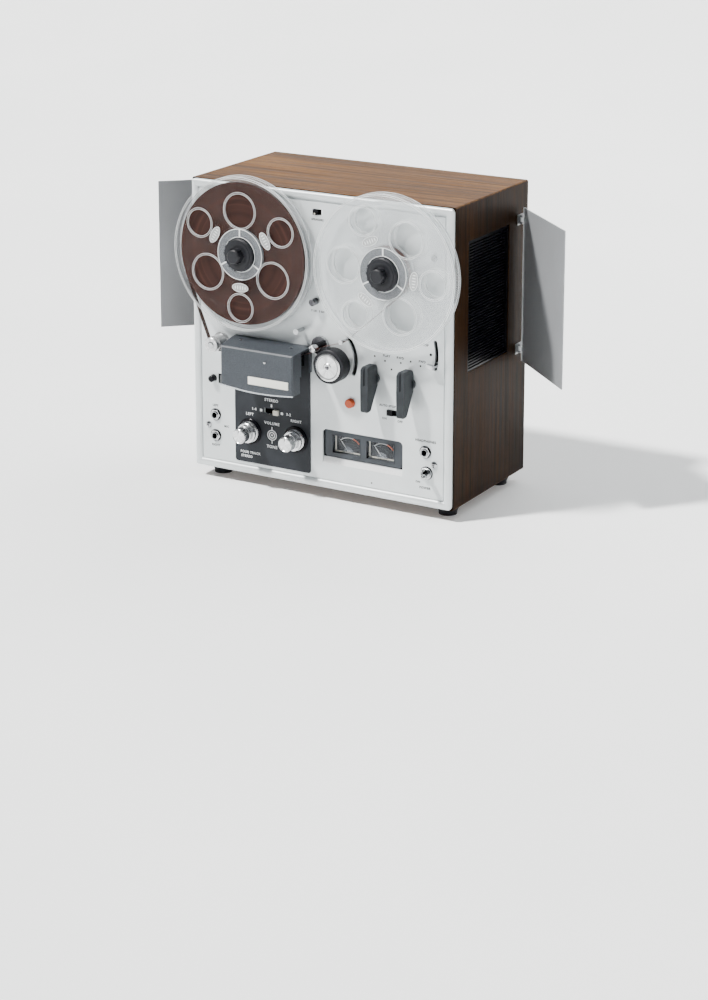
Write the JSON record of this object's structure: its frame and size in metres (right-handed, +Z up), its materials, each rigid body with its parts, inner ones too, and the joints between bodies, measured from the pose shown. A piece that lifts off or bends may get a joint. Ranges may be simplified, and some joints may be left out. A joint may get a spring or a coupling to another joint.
{
  "type": "reel to reel tape deck",
  "caption": "Wooden-cased reel to reel tape deck with turning reels, capstan drive, levers, meters and hinged side doors over its loudspeakers.",
  "frame": {"origin": "middle of the whole footprint, on the ground under the feet", "axes": "+Z up, front panel faces -Y, +X to the right seen from the front"},
  "size_m": [0.5338, 0.233, 0.3679],
  "materials": {
    "walnut": "oiled walnut veneer",
    "panel_metal": "silver-white satin",
    "slate_plate": "dark blue-grey matt",
    "fibre_board": "dark fibre board",
    "socket_plate": "grey satin",
    "foot_rubber": "matt black",
    "grille_black": "matt black",
    "speaker_steel": "dark grey",
    "door_metal": "satin silver",
    "hinge_white": "white gloss",
    "chassis_steel": "plated steel",
    "slate_cover": "blue-grey fine texture",
    "bright_chrome": "polished",
    "platter_metal": "turned satin",
    "reel_clear": "clear moulded plastic",
    "tape_brown": "wound brown tape",
    "cap_rubber": "matt black",
    "bearing_black": "black satin",
    "satin_aluminium": "turned satin",
    "roller_rubber": "ground black",
    "lever_grey": "slate grey satin",
    "button_orange": "orange-red satin",
    "cap_black": "black",
    "slider_ivory": "ivory",
    "knob_metal": "spun bright aluminium",
    "bezel_grey": "blue-grey",
    "needle_pale": "pale",
    "jack_metal": "polished",
    "board_brown": "brown laminate"
  },
  "bodies": {
    "case": {"cabinet_shell": "walnut", "front_panel": "panel_metal", "control_plate": "slate_plate", "rear_cover": "fibre_board", "rear_connectors": "socket_plate", "rubber_feet": "foot_rubber", "side_grilles": "grille_black", "speakers": "speaker_steel", "door_hinges": "hinge_white", "chassis_plate": "chassis_steel", "head_cover": "slate_cover", "head_block": "bright_chrome", "capstan_bearing": "bearing_black", "motor_housing": "chassis_steel", "drive_belt": "foot_rubber", "counter_frame": "cap_black", "meter_bezel": "bezel_grey", "meter_movements": "cap_black", "tape_path": "tape_brown", "panel_fittings": "jack_metal", "power_transformer": "chassis_steel", "amplifier_board": "board_brown"},
    "supply_reel": {"supply_turntable": "platter_metal", "supply_reel_flange": "reel_clear", "supply_reel_hub": "reel_clear", "supply_tape_pack": "tape_brown", "supply_reel_cap": "cap_rubber"},
    "takeup_reel": {"takeup_turntable": "platter_metal", "takeup_reel_flange": "reel_clear", "takeup_reel_hub": "reel_clear", "takeup_reel_cap": "cap_rubber"},
    "capstan": {"capstan_shaft": "bright_chrome", "flywheel": "chassis_steel"},
    "motor": {"motor_rotor": "chassis_steel"},
    "pinch_arm": {"pinch_arm": "chassis_steel"},
    "pinch_roller": {"pinch_roller_core": "satin_aluminium", "pinch_roller_tyre": "roller_rubber"},
    "guide_roller": {"guide_roller": "satin_aluminium"},
    "shutoff_arm": {"shutoff_arm": "bright_chrome"},
    "stop_lever": {"stop_lever": "bright_chrome"},
    "play_lever": {"play_lever": "lever_grey"},
    "wind_lever": {"wind_lever": "lever_grey"},
    "record_button": {"record_button": "button_orange"},
    "reset_button": {"reset_button": "cap_black"},
    "units_wheel": {"units_wheel": "cap_black"},
    "tens_wheel": {"tens_wheel": "cap_black"},
    "hundreds_wheel": {"hundreds_wheel": "cap_black"},
    "track_selector": {"track_selector": "slider_ivory"},
    "shutoff_switch": {"shutoff_switch": "cap_black"},
    "deck_switch": {"deck_switch": "slider_ivory"},
    "speed_knob": {"speed_knob": "bright_chrome"},
    "left_outer_knob": {"left_outer_knob": "knob_metal"},
    "right_outer_knob": {"right_outer_knob": "knob_metal"},
    "left_inner_knob": {"left_inner_knob": "knob_metal"},
    "right_inner_knob": {"right_inner_knob": "knob_metal"},
    "power_toggle": {"power_toggle": "bright_chrome"},
    "left_needle": {"left_needle": "needle_pale"},
    "right_needle": {"right_needle": "needle_pale"},
    "left_door": {"left_door": "door_metal"},
    "right_door": {"right_door": "door_metal"}
  },
  "joints": [
    {"name": "supply_spin", "type": "hinge", "parent": "case", "child": "supply_reel", "pos_m": [-0.0925, -0.0855, 0.279], "axis": [0, -1, 0], "continuous": true},
    {"name": "takeup_spin", "type": "hinge", "parent": "case", "child": "takeup_reel", "pos_m": [0.0925, -0.0855, 0.279], "axis": [0, -1, 0], "continuous": true},
    {"name": "capstan_spin", "type": "hinge", "parent": "case", "child": "capstan", "pos_m": [0.0022, -0.0705, 0.182], "axis": [0, -1, 0], "continuous": true},
    {"name": "motor_spin", "type": "hinge", "parent": "case", "child": "motor", "pos_m": [-0.075, 0.0295, 0.123], "axis": [0, -1, 0], "continuous": true},
    {"name": "guide_roller_spin", "type": "hinge", "parent": "case", "child": "guide_roller", "pos_m": [-0.1285, -0.0855, 0.17], "axis": [0, -1, 0], "continuous": true},
    {"name": "play_lever_turn", "type": "hinge", "parent": "case", "child": "play_lever", "pos_m": [0.0715, -0.0705, 0.154], "axis": [0, 1, 0], "range_deg": [0, 60]},
    {"name": "wind_lever_turn", "type": "hinge", "parent": "case", "child": "wind_lever", "pos_m": [0.117, -0.0705, 0.154], "axis": [0, 1, 0], "range_deg": [-30, 30]},
    {"name": "pinch_swing", "type": "hinge", "parent": "case", "child": "pinch_arm", "pos_m": [-0.0034, -0.0665, 0.129], "axis": [0, 1, 0], "range_deg": [-4.8, 0]},
    {"name": "pinch_roller_spin", "type": "hinge", "parent": "pinch_arm", "child": "pinch_roller", "pos_m": [0.0243, -0.0855, 0.1645], "axis": [0, 1, 0], "continuous": true},
    {"name": "shutoff_swing", "type": "hinge", "parent": "case", "child": "shutoff_arm", "pos_m": [0.0072, -0.0605, 0.1691], "axis": [0, 1, 0], "range_deg": [0, 60], "deforming": ["tape_path"]},
    {"name": "stop_lever_swing", "type": "hinge", "parent": "case", "child": "stop_lever", "pos_m": [0.086, -0.0685, 0.1897], "axis": [0, 1, 0], "range_deg": [-21, 0]},
    {"name": "record_press", "type": "slide", "parent": "case", "child": "record_button", "axis": [0, 1, 0], "range_m": [0, 0.003], "stiffness_N_per_m": 300},
    {"name": "reset_press", "type": "slide", "parent": "case", "child": "reset_button", "axis": [0, 1, 0], "range_m": [0, 0.003], "stiffness_N_per_m": 300},
    {"name": "units_turn", "type": "hinge", "parent": "case", "child": "units_wheel", "pos_m": [-0.1174, -0.0565, 0.1225], "axis": [1, 0, 0], "continuous": true},
    {"name": "tens_turn", "type": "hinge", "parent": "case", "child": "tens_wheel", "pos_m": [-0.1238, -0.0565, 0.1225], "axis": [1, 0, 0], "continuous": true},
    {"name": "hundreds_turn", "type": "hinge", "parent": "case", "child": "hundreds_wheel", "pos_m": [-0.1302, -0.0565, 0.1225], "axis": [1, 0, 0], "continuous": true},
    {"name": "track_slide", "type": "slide", "parent": "case", "child": "track_selector", "axis": [1, 0, 0], "range_m": [-0.013, 0]},
    {"name": "shutoff_switch_slide", "type": "slide", "parent": "case", "child": "shutoff_switch", "axis": [1, 0, 0], "range_m": [0, 0.007]},
    {"name": "deck_switch_slide", "type": "slide", "parent": "case", "child": "deck_switch", "axis": [1, 0, 0], "range_m": [0, 0.006]},
    {"name": "speed_turn", "type": "hinge", "parent": "case", "child": "speed_knob", "pos_m": [-0.0042, -0.0705, 0.2321], "axis": [0, 1, 0], "range_deg": [-40, 40]},
    {"name": "left_outer_turn", "type": "hinge", "parent": "case", "child": "left_outer_knob", "pos_m": [-0.093, -0.0705, 0.066], "axis": [0, 1, 0], "range_deg": [0, 280]},
    {"name": "left_inner_turn", "type": "hinge", "parent": "case", "child": "left_inner_knob", "pos_m": [-0.093, -0.0905, 0.066], "axis": [0, 1, 0], "range_deg": [0, 280]},
    {"name": "right_outer_turn", "type": "hinge", "parent": "case", "child": "right_outer_knob", "pos_m": [-0.031, -0.0705, 0.066], "axis": [0, 1, 0], "range_deg": [0, 280]},
    {"name": "right_inner_turn", "type": "hinge", "parent": "case", "child": "right_inner_knob", "pos_m": [-0.031, -0.0905, 0.066], "axis": [0, 1, 0], "range_deg": [0, 280]},
    {"name": "power_toggle_tilt", "type": "hinge", "parent": "case", "child": "power_toggle", "pos_m": [0.138, -0.0685, 0.0533], "axis": [0, 0, 1], "range_deg": [-24, 0]},
    {"name": "left_needle_swing", "type": "hinge", "parent": "case", "child": "left_needle", "pos_m": [0.034, -0.066, 0.058], "axis": [0, 1, 0], "range_deg": [0, 82]},
    {"name": "right_needle_swing", "type": "hinge", "parent": "case", "child": "right_needle", "pos_m": [0.078, -0.066, 0.058], "axis": [0, 1, 0], "range_deg": [0, 82]},
    {"name": "left_door_swing", "type": "hinge", "parent": "case", "child": "left_door", "pos_m": [-0.1732, 0.0845, 0.239], "axis": [0, 0, -1], "range_deg": [-47, 43]},
    {"name": "right_door_swing", "type": "hinge", "parent": "case", "child": "right_door", "pos_m": [0.1732, 0.0845, 0.239], "axis": [0, 0, 1], "range_deg": [-47, 43]}
  ],
  "couplings": [
    {"joint": "motor_spin", "follows": "capstan_spin", "ratio": 4.2},
    {"joint": "pinch_swing", "follows": "play_lever_turn", "ratio": -0.08},
    {"joint": "units_turn", "follows": "takeup_spin", "ratio": 0.1},
    {"joint": "tens_turn", "follows": "takeup_spin", "ratio": 0.01},
    {"joint": "hundreds_turn", "follows": "takeup_spin", "ratio": 0.001}
  ]
}
